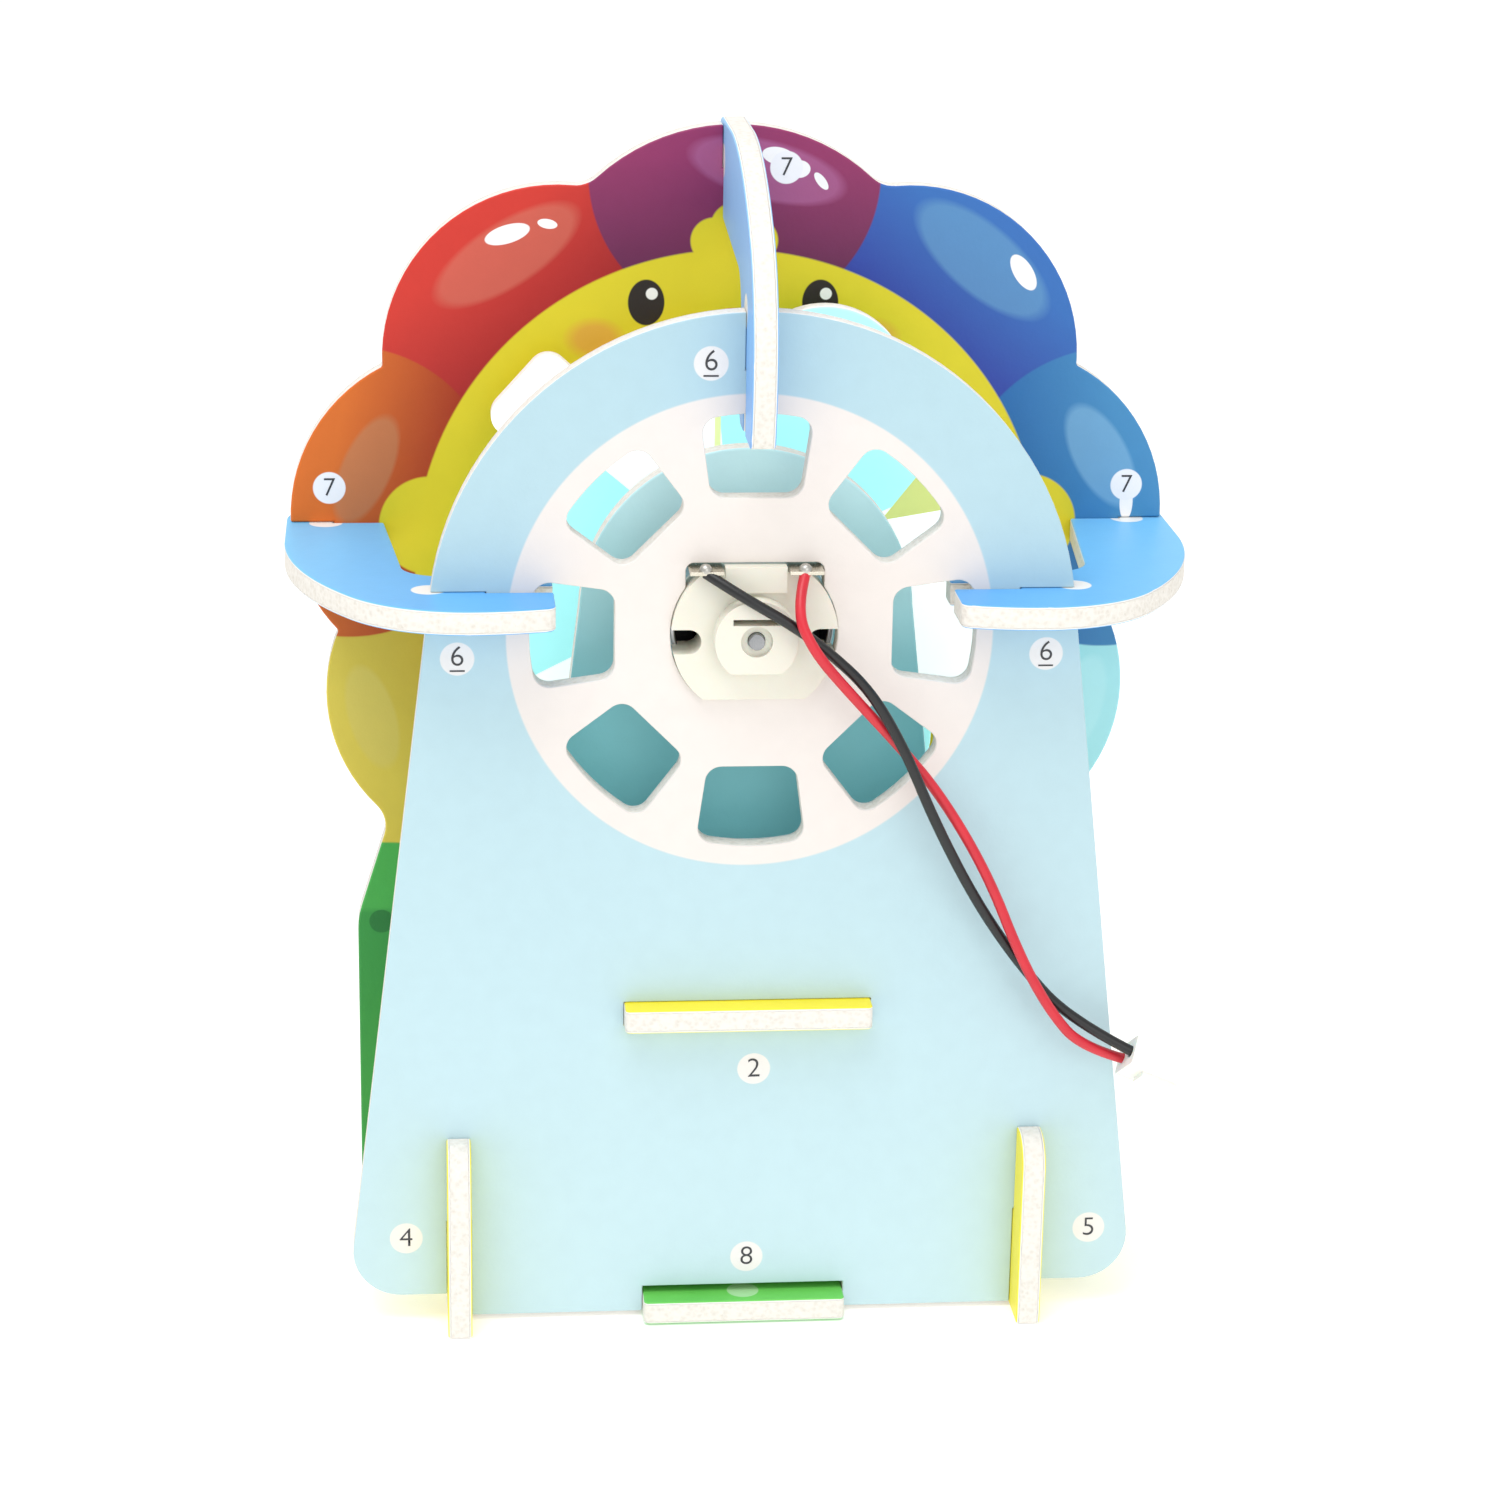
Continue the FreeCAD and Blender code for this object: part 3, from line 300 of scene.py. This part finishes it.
def printed_board(name, facing, middle_mm, artwork, painted_glow=0.0):
    """Printed film on the two faces square to one axis, and bare foam on the stamped edges.

    The rear face of a board deep inside glows a little in its own colours: a painted glow where the boards in
    front shade it.
    """
    material, tree = new_material(name)
    across, depth, up = board_place(tree)
    ink = artwork(tree, across, depth, up)
    here = add(tree, "ShaderNodeTexCoord")
    place = here.outputs["Object"]
    # film: a fine orange-peel of about 0.6 mm and a paper-like mottle of about 2.4 mm in the ink
    peel = add(tree, "ShaderNodeTexNoise", {"Vector": place, "Scale": 1700.0, "Detail": 2.0})
    mottle = add(tree, "ShaderNodeTexNoise", {"Vector": place, "Scale": 420.0, "Detail": 5.0})
    uneven = add(tree, "ShaderNodeMapRange", {0: mottle.outputs[0], 1: 0.3, 2: 0.7, 3: 0.985, 4: 1.01})
    film = add(tree, "ShaderNodeVectorMath", {0: ink, "Scale": uneven.outputs[0]}, operation="SCALE")
    # foam: torn cells about 0.7 mm across and crush marks of about 1.1 mm, drawn a little coarse to show
    crush = add(tree, "ShaderNodeTexNoise", {"Vector": place, "Scale": 900.0, "Detail": 4.0,
                                             "Roughness": 0.65, "Distortion": 1.2})
    cells = add(tree, "ShaderNodeTexVoronoi", {"Vector": place, "Scale": 1500.0})
    torn = add(tree, "ShaderNodeMath", {0: crush.outputs[0], 1: cells.outputs["Distance"]}, operation="ADD")
    pale = add(tree, "ShaderNodeMapRange", {0: torn.outputs[0], 1: 0.45, 2: 1.15})
    foam = add(tree, "ShaderNodeMix", {0: pale.outputs[0], 6: paint("#D9D3C9"), 7: paint("#E6E2DB")},
               data_type="RGBA")
    # the cut ends of the two films show as thin clean white lines
    thick = {"X": across, "Y": depth, "Z": up}[facing]
    off = add(tree, "ShaderNodeMath", {0: thick, 1: middle_mm}, operation="SUBTRACT")
    away = add(tree, "ShaderNodeMath", {0: off.outputs[0]}, operation="ABSOLUTE")
    rim = add(tree, "ShaderNodeMapRange", {0: away.outputs[0], 1: HALF_BOARD_MM - 0.38,
                                           2: HALF_BOARD_MM - 0.24}).outputs[0]
    edge = over(tree, foam.outputs[2], "#EFEDE9", rim)
    square = add(tree, "ShaderNodeSeparateXYZ", {0: here.outputs["Normal"]}).outputs["XYZ".index(facing)]
    facing_out = add(tree, "ShaderNodeMath", {0: square}, operation="ABSOLUTE")
    on_face = add(tree, "ShaderNodeMapRange", {0: facing_out.outputs[0], 1: 0.44, 2: 0.52}).outputs[0]
    colour = over(tree, edge, film.outputs[0], on_face)
    inside_rim = add(tree, "ShaderNodeMath", {0: 1.0, 1: rim}, operation="SUBTRACT")
    shallow = add(tree, "ShaderNodeMath", {0: torn.outputs[0], 1: 0.45}, operation="MULTIPLY")
    rough_part = add(tree, "ShaderNodeMath", {0: shallow.outputs[0], 1: inside_rim.outputs[0]},
                     operation="MULTIPLY")
    soft_peel = add(tree, "ShaderNodeMath", {0: peel.outputs[0], 1: 0.06}, operation="MULTIPLY")
    relief = add(tree, "ShaderNodeMix", {0: on_face, 2: rough_part.outputs[0], 3: soft_peel.outputs[0]},
                 data_type="FLOAT")
    gloss = add(tree, "ShaderNodeMix", {0: on_face, 2: 0.85, 3: 0.42}, data_type="FLOAT")
    # painted glow: only the rear face emits its own colours, as painted light for a board deep inside
    front_side = add(tree, "ShaderNodeMapRange", {0: square, 1: -0.5, 2: 0.5})
    painted_glow_colour = over(tree, colour, "#000000", front_side.outputs[0])
    coat(tree, colour, gloss.outputs[0], relief.outputs[0], 0.3, IOR=1.49, Specular_IOR_Level=0.3,
         Emission_Color=painted_glow_colour, Emission_Strength=painted_glow)
    return material


ink_black, tree = new_material("grey_black_ink")
place = add(tree, "ShaderNodeTexCoord").outputs["Object"]
wear = add(tree, "ShaderNodeTexNoise", {"Vector": place, "Scale": 3000.0, "Detail": 3.0})
tint = add(tree, "ShaderNodeMix", {0: wear.outputs[0], 6: paint("#2B2B2E"), 7: paint("#3A3A3E")},
           data_type="RGBA")
coat(tree, tint.outputs[2], 0.45)


def number(name, digit, x, z, y, size=3.6, underlined=False):
    """One assembly number printed on a board's rear face, whose depth is y."""
    proud = y - 0.03
    text = bpy.data.curves.new(name, "FONT")
    text.body = digit
    text.size = size / 1000
    text.align_x = "CENTER"
    text.align_y = "CENTER"
    text.offset = -0.000035
    text.materials.append(ink_black)
    made = bpy.data.objects.new(name, text)
    lift = 0.25 if underlined else 0
    made.location = (x / 1000, proud / 1000, (AXIS_MM + z + lift) / 1000)
    made.rotation_euler = (math.pi / 2, 0, 0)
    scene.collection.objects.link(made)
    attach(made, "root")
    if underlined:
        corners = [(-0.9, -1.58), (0.9, -1.58), (0.9, -1.38), (-0.9, -1.38)]
        stroke_mesh = bpy.data.meshes.new(name + "_stroke")
        stroke_mesh.from_pydata([((x + dx) / 1000, proud / 1000, (AXIS_MM + z + dz) / 1000)
                                 for dx, dz in corners], [], [(0, 1, 2, 3)])
        stroke_mesh.materials.append(ink_black)
        stroke = bpy.data.objects.new(name + "_stroke", stroke_mesh)
        scene.collection.objects.link(stroke)
        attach(stroke, "root")


def number_discs(tree, ink, place, middle_mm, spots, white):
    """A white disc under each number, on the board's rear face only."""
    across, depth, up = place
    rear = add(tree, "ShaderNodeMapRange", {0: depth, 1: middle_mm + 0.05, 2: middle_mm - 0.05})
    for spot in spots:
        disc = oval(tree, across, up, spot, (2.05, 2.05))
        on_rear = add(tree, "ShaderNodeMath", {0: rear.outputs[0], 1: disc}, operation="MULTIPLY")
        ink = over(tree, ink, white, on_rear.outputs[0])
    return ink


# digit, place and whether it is underlined
BACK_NUMBERS = [
    ("6", -5.6, 32.9, True), ("6", -35.5, -2.8, True), ("6", 35.5, -2.8, True), ("2", 0.9, -56.2, False),
    ("4", -42.4, -78.2, False), ("5", 44.1, -78.9, False), ("8", 0.4, -81.8, False),
]


def back_art(tree, across, depth, up):
    # the pale blue is paler and warmer towards the bottom and darker towards the top
    height = add(tree, "ShaderNodeMapRange", {0: up, 1: -85, 2: 40})
    board_blue = add(tree, "ShaderNodeMix", {0: height.outputs[0], 6: paint("#BCD6DC"), 7: paint("#AAC8D2")},
              data_type="RGBA").outputs[2]
    ink = over(tree, board_blue, "#E1DAD5", oval(tree, across, up, (-0.4, 0), (29.3, 29.3), blur=0.004))
    spots = [(x, z) for digit, x, z, underlined in BACK_NUMBERS]
    return number_discs(tree, ink, (across, depth, up), BACK_MM, spots, "#E4E1DE")


dress("back_panel", printed_board("pale_blue_film_on_foam", "Y", BACK_MM, back_art))
soften("back_panel")
for count, (digit, x, z, underlined) in enumerate(BACK_NUMBERS):
    number("back_number_%d" % count, digit, x, z, BACK_MM - HALF_BOARD_MM, underlined=underlined)


# ---- Middle board ---------------------------------------------------------------------
# A narrow arch in muted blue that grips the motor's case and pegs into the shelf. Painted shade
# darkens it towards the bottom, and its rear face has a painted glow.

def middle_print_and_painted_shade(tree, across, depth, up):
    # painted shade: darker towards the bottom and paler towards the top, for how light falls between the
    # boards
    height = add(tree, "ShaderNodeMapRange", {0: up, 1: -12, 2: 18})
    return add(tree, "ShaderNodeMix", {0: height.outputs[0], 6: paint("#70B0B6"), 7: paint("#BFE2E6")},
               data_type="RGBA").outputs[2]


# the middle board's rear face has a painted glow of 0.25
dress("middle_panel", printed_board("muted_blue_film_on_foam", "Y", -5.75, middle_print_and_painted_shade, painted_glow=0.25))
soften("middle_panel")


# ---- Front board ----------------------------------------------------------------------
# Seven balloons stand round a plain yellow chick over a green lawn. The same picture is
# printed on both faces, the numbers on the rear only, and a round opening shows the wheel.

FRONT_MM = 18.75
# centre, radius, bright ink, dark ink: a later balloon overlaps an earlier one
BALLOONS = [
    ((-32.0, 38.0), 24.0, "#CE352A", "#A42424"),  # red
    ((32.0, 38.0), 24.0, "#356CB3", "#32409C"),  # blue
    ((-43.0, -24.5), 22.0, "#DEC850", "#BFA334"),  # olive
    ((43.0, -24.5), 22.0, "#A7E3EA", "#8CD0D8"),  # cyan
    ((0.0, 49.7), 18.3, "#913161", "#66274E"),  # purple
    ((-48.6, 9.2), 18.9, "#D66B23", "#A33417"),  # orange
    ((49.0, 8.0), 19.8, "#4488B8", "#2968A6"),  # teal
]
# centre, half sizes, tilt and ink of each soft highlight, then the first three for each white glint
HIGHLIGHTS = [
    ((-28.5, 39.6), (10.2, 3.9), 33, "#CD6C59"), ((31.5, 39.0), (10.4, 4.2), -40, "#6599BF"),
    ((4.0, 50.2), (9.8, 3.6), -14, "#AF6494"), ((-46.3, 12.2), (7.4, 3.1), 66, "#BC7F56"),
    ((47.8, 13.6), (7.4, 3.4), -60, "#7FB0D1"), ((-46.0, -20.5), (7.0, 3.0), 105, "#D9C768"),
    ((46.5, -20.0), (7.0, 3.0), 75, "#B5E8EE"),
]
GLINTS = [
    ((-28.4, 42.2), (2.9, 1.15), 17), ((-23.4, 43.5), (1.25, 0.6), -10), ((36.8, 37.4), (2.6, 1.2), -57),
    ((5.4, 52.0), (2.1, 1.1), -12), ((8.0, 50.4), (1.4, 1.1), 0), ((10.8, 48.9), (1.3, 0.55), -52),
    ((51.4, 7.5), (0.85, 2.4), 0),
]
# where the assembly number 7 is printed, on the rear face only
FRONT_NUMBERS = [(-51.0, 9.9), (51.3, 9.8), (6.4, 50.6)]


def front_art(tree, across, depth, up):
    ink = paint("#C9B44A")
    flat = add(tree, "ShaderNodeCombineXYZ", {0: across, 1: up})
    for centre, radius, bright, dark in BALLOONS:
        inside = oval(tree, across, up, centre, (radius, radius), blur=0.006)
        reach = math.hypot(*centre)
        toward = (centre[0] / reach, centre[1] / reach)
        outward = add(tree, "ShaderNodeVectorMath", {0: flat.outputs[0], 1: (*toward, 0)},
                      operation="DOT_PRODUCT")
        rim = add(tree, "ShaderNodeMapRange", {0: outward.outputs["Value"], 1: 38, 2: 52})
        body = add(tree, "ShaderNodeMix", {0: rim.outputs[0], 6: paint(dark), 7: paint(bright)},
                   data_type="RGBA")
        ink = over(tree, ink, body.outputs[2], inside)
    for centre, half, tilt, tint in HIGHLIGHTS:
        ink = over(tree, ink, tint, oval(tree, across, up, centre, half, tilt, blur=0.08), 0.6)
    for centre, half, tilt in GLINTS:
        ink = over(tree, ink, "#F6F2F0", oval(tree, across, up, centre, half, tilt))
    # lawn, with a darker fold below and a faint number disc
    along = add(tree, "ShaderNodeCombineXYZ", {0: across})
    lawn_top = add(tree, "ShaderNodeTexNoise", {"Vector": along.outputs[0], "Scale": 0.12, "Detail": 1.0})
    wavy = add(tree, "ShaderNodeMath", {0: up, 1: lawn_top.outputs[0]}, operation="ADD")
    on_lawn = add(tree, "ShaderNodeMapRange", {0: wavy.outputs[0], 1: -37.2, 2: -37.5}).outputs[0]
    fold = add(tree, "ShaderNodeMapRange", {0: up, 1: -46.6, 2: -47.4})
    lawn = over(tree, paint("#4CB052"), "#3C9A4A", fold.outputs[0])
    lawn = over(tree, lawn, "#2C7C3E", oval(tree, across, up, (-45.2, -48.6), (1.6, 1.6)))
    ink = over(tree, ink, lawn, on_lawn)
    # the chick: a round head with a tuft and two side feathers, plain dot eyes and a small beak
    for centre, radius in (((0, 0), 40.3), ((-2.6, 41.4), 2.9), ((2.6, 41.4), 2.9), ((0, 43.2), 3.0),
                           ((-38.4, 4.9), 6.4), ((38.4, 4.9), 6.4)):
        ink = over(tree, ink, "#DECD2A", oval(tree, across, up, centre, (radius, radius), blur=0.12 / radius))
    below = add(tree, "ShaderNodeMapRange", {0: up, 1: -36.9, 2: -37.2})
    over_head = add(tree, "ShaderNodeMath", {0: on_lawn, 1: below.outputs[0]}, operation="MULTIPLY")
    ink = over(tree, ink, lawn, over_head.outputs[0])
    for mirror in (-1, 1):
        cheek = oval(tree, across, up, (mirror * 17.5, 29.0), (3.2, 2.2), blur=0.3)
        glint = oval(tree, across, up, (mirror * 11.0 + 0.7, 34.7), (0.75, 0.75), blur=0.08)
        ink = over(tree, ink, "#E0A040", cheek, 0.8)
        ink = over(tree, ink, "#2E2622", oval(tree, across, up, (mirror * 11.0, 33.6), (2.3, 2.9)))
        ink = over(tree, ink, "#F3F1EC", glint)
    ink = over(tree, ink, "#DD6B22", oval(tree, across, up, (0, 30.6), (3.4, 2.3)))
    return number_discs(tree, ink, (across, depth, up), FRONT_MM, FRONT_NUMBERS, "#F1EEF0")


dress("front_panel", printed_board("balloon_picture_film_on_foam", "Y", FRONT_MM, front_art))
soften("front_panel")
for count, (x, z) in enumerate(FRONT_NUMBERS):
    number("front_number_%d" % count, "7", x, z, FRONT_MM - HALF_BOARD_MM, size=3.4)


# ---- Struts ---------------------------------------------------------------------------
# Three equal hooked boards, bright blue on both faces, pushed over the rims of the back
# and front boards. White discs mark where each one crosses a board.

def strut_art(radial, inner, outer):
    def draw(tree, across, depth, up):
        along = up
        if radial == "X":
            along = add(tree, "ShaderNodeMath", {0: across}, operation="ABSOLUTE").outputs[0]
        outward = add(tree, "ShaderNodeMapRange", {0: along, 1: 24, 2: 56})
        ink = add(tree, "ShaderNodeMix", {0: outward.outputs[0], 6: paint(inner), 7: paint(outer)},
                  data_type="RGBA").outputs[2]
        for out, y in ((38.8, -15.9), (51.5, 17.0)):
            ink = over(tree, ink, "#E8E8E6", oval(tree, along, depth, (out, y), (2.1, 2.1)))
        return ink
    return draw


dress("top_strut", printed_board("bright_blue_film_upright_strut", "X", 0.0,
                                strut_art("Z", "#7DAEEA", "#93C8F6")))
side_strut = printed_board("bright_blue_film_side_struts", "Z", 3.9, strut_art("X", "#5CA5E6", "#78C0EC"))
dress("left_strut", side_strut)
dress("right_strut", side_strut)
for strut in ("top_strut", "left_strut", "right_strut"):
    soften(strut)


# ---- Supports and shelf ---------------------------------------------------------------
# Sunny yellow boards: two uprights notched over both panels, and the level shelf that
# ties the three upright boards together.

def yellow_art(tree, across, depth, up):
    place = add(tree, "ShaderNodeTexCoord").outputs["Object"]
    patch = add(tree, "ShaderNodeTexNoise", {"Vector": place, "Scale": 40.0, "Detail": 2.0})
    return add(tree, "ShaderNodeMix", {0: patch.outputs[0], 6: paint("#F3E030"), 7: paint("#F7E842")},
               data_type="RGBA").outputs[2]


dress("support_left", printed_board("yellow_film_left_support", "X", -35.8, yellow_art))
dress("support_right", printed_board("yellow_film_right_support", "X", 35.8, yellow_art))
dress("shelf", printed_board("yellow_film_shelf", "Z", -48.6, yellow_art))


# ---- Base -----------------------------------------------------------------------------
# A grass green board flat on the table, with a tab through each upright board and a
# faint number disc at its rear edge.

def grass_art(tree, across, depth, up):
    place = add(tree, "ShaderNodeTexCoord").outputs["Object"]
    blades = add(tree, "ShaderNodeTexNoise", {"Vector": place, "Scale": 120.0, "Detail": 3.0})
    ink = add(tree, "ShaderNodeMix", {0: blades.outputs[0], 6: paint("#5CBA4E"), 7: paint("#74D062")},
              data_type="RGBA").outputs[2]
    return over(tree, ink, "#E8F0E4", oval(tree, across, depth, (0.0, -17.2), (2.0, 2.0)), 0.35)


dress("base_plate", printed_board("grass_green_film_base", "Z", -88.0, grass_art))
for board in ("support_left", "support_right", "shelf", "base_plate"):
    soften(board)


# ---- Motor ----------------------------------------------------------------------------
# A small flat-sided direct-current motor: a zinc-plated pressed steel case, a creamy
# nylon end cap with tinned terminals, and sintered bronze bearings round a ground shaft.

dress("motor_can", metal("zinc_plated_steel", "#C9CCD0", "#A9ADB3", 0.22, 0.42, (1.0, 0.12, 1.0), 0.25))
dress("end_cap", moulded_nylon("end_cap_nylon", "#E4E2D5", "#DAD7C9", 0.38))
dress("terminal_left", tinned)
dress("terminal_right", tinned)
dress("commutator", metal("turned_copper", "#D08A5E", "#A4623F", 0.2, 0.4, (1.0, 0.2, 1.0), 0.2))
bronze = metal("sintered_bronze", "#A98D5C", "#7C6440", 0.4, 0.6)
dress("front_bearing", bronze)
dress("rear_bearing", bronze)
strip = metal("phosphor_bronze_strip", "#CFA176", "#A67B52", 0.25, 0.45)
dress("brush_left", strip)
dress("brush_right", strip)
dress("motor_shaft", metal("ground_steel", "#A3A4A6", "#77797C", 0.16, 0.32, (1.0, 0.1, 1.0), 0.12))
dress("armature_core", metal("laminated_silicon_steel", "#8C8F94", "#63666B", 0.35, 0.55,
                             (0.2, 4.0, 0.2), 0.5))
enamel = metal("enamelled_copper_wire", "#B8602F", "#8A3F1C", 0.2, 0.35, (0.3, 0.3, 3.0), 0.25)
for coil in ("coil_1", "coil_2", "coil_3"):
    dress(coil, enamel)
    soften(coil, 0.1)
bright = metal("tin_solder", "#CFCDC6", "#A09E98", 0.3, 0.48)
dress("solder_left", bright)
dress("solder_right", bright)

ferrite, tree = new_material("sintered_ferrite")
place = add(tree, "ShaderNodeTexCoord").outputs["Object"]
grit = add(tree, "ShaderNodeTexNoise", {"Vector": place, "Scale": 2500.0, "Detail": 4.0})
tint = add(tree, "ShaderNodeMix", {0: grit.outputs[0], 6: paint("#26262A"), 7: paint("#3A3A3F")},
           data_type="RGBA")
coat(tree, tint.outputs[2], 0.75, grit.outputs[0], 0.02)
dress("magnet_left", ferrite)
dress("magnet_right", ferrite)
for piece, width in (("motor_can", 0.25), ("end_cap", 0.2), ("terminal_left", 0.08), ("terminal_right", 0.08),
                     ("motor_shaft", 0.15), ("connector_housing", 0.12)):
    soften(piece, width)


# ---- Wheel ----------------------------------------------------------------------------
# A printed board disc in pale aqua, white and olive segments with domes and tabs on its
# rim, clamped between a moulded hub's flange and a clip ring on the shaft.

# first and last angle of each aqua segment, from the right and counter-clockwise from behind
AQUA = [(24, 96), (140, 207), (253, 325)]
# the olive wedge's point, the angles of its two sides, and where the seam line stands
WEDGE_POINT = (18.45, 7.1)
WEDGE_SIDES = (9.6, 52.0)
SEAM_MM = -2.4


def wheel_art(tree, across, depth, up):
    turn = add(tree, "ShaderNodeMath", {0: up, 1: across}, operation="ARCTAN2")
    degrees = add(tree, "ShaderNodeMath", {0: turn.outputs[0], 1: 180 / math.pi}, operation="MULTIPLY")
    wrapped = add(tree, "ShaderNodeMath", {0: degrees.outputs[0], 1: 360.0, 2: 0.0}, operation="WRAP")
    ink = paint("#FAFBF8")
    for first, last in AQUA:
        begun = add(tree, "ShaderNodeMapRange", {0: wrapped.outputs[0], 1: first - 0.1, 2: first + 0.1})
        not_ended = add(tree, "ShaderNodeMapRange", {0: wrapped.outputs[0], 1: last + 0.1, 2: last - 0.1})
        sector = add(tree, "ShaderNodeMath", {0: begun.outputs[0], 1: not_ended.outputs[0]},
                     operation="MULTIPLY")
        ink = over(tree, ink, "#A8ECED", sector.outputs[0])
    # one tab is left white
    ink = over(tree, ink, "#FAFBF8", oval(tree, across, up, (-27.7, 24.9), (7.6, 7.6)))
    # an olive wedge that widens from its point, and a small olive patch on a tab
    dx = add(tree, "ShaderNodeMath", {0: across, 1: WEDGE_POINT[0]}, operation="SUBTRACT").outputs[0]
    dz = add(tree, "ShaderNodeMath", {0: up, 1: WEDGE_POINT[1]}, operation="SUBTRACT").outputs[0]
    aim = add(tree, "ShaderNodeMath", {0: dz, 1: dx}, operation="ARCTAN2").outputs[0]
    first, last, blur = (math.radians(angle) for angle in (*WEDGE_SIDES, 0.2))
    low_side = add(tree, "ShaderNodeMapRange", {0: aim, 1: first - blur, 2: first + blur})
    high_side = add(tree, "ShaderNodeMapRange", {0: aim, 1: last + blur, 2: last - blur})
    wedge = add(tree, "ShaderNodeMath", {0: low_side.outputs[0], 1: high_side.outputs[0]},
                operation="MULTIPLY")
    ink = over(tree, ink, "#C6CE7C", wedge.outputs[0])
    ink = over(tree, ink, "#E4EBA5", oval(tree, across, up, (-19.7, 28.7), (1.8, 1.1), 35))
    # a thin pale seam line from near the hub to the top
    seam = add(tree, "ShaderNodeMath", {0: across, 1: SEAM_MM}, operation="SUBTRACT")
    seam_width = add(tree, "ShaderNodeMath", {0: seam.outputs[0]}, operation="ABSOLUTE")
    near_seam = add(tree, "ShaderNodeMapRange", {0: seam_width.outputs[0], 1: 0.42, 2: 0.34})
    above = add(tree, "ShaderNodeMapRange", {0: up, 1: 5.0, 2: 5.2})
    line = add(tree, "ShaderNodeMath", {0: near_seam.outputs[0], 1: above.outputs[0]}, operation="MULTIPLY")
    return over(tree, ink, "#E0E7A0", line.outputs[0])


# the wheel's rear face has a painted glow, which lifts it where the boards in front shade it
dress("spinner_wheel", printed_board("aqua_wheel_film_on_foam", "Y", 11.25, wheel_art, painted_glow=0.48))
soften("spinner_wheel")
hub_nylon = moulded_nylon("wheel_hub_nylon", "#F1F0EA", "#E3E1D8")
dress("wheel_hub", hub_nylon)
dress("wheel_clip", hub_nylon)
soften("wheel_hub", 0.15)
soften("wheel_clip", 0.2)
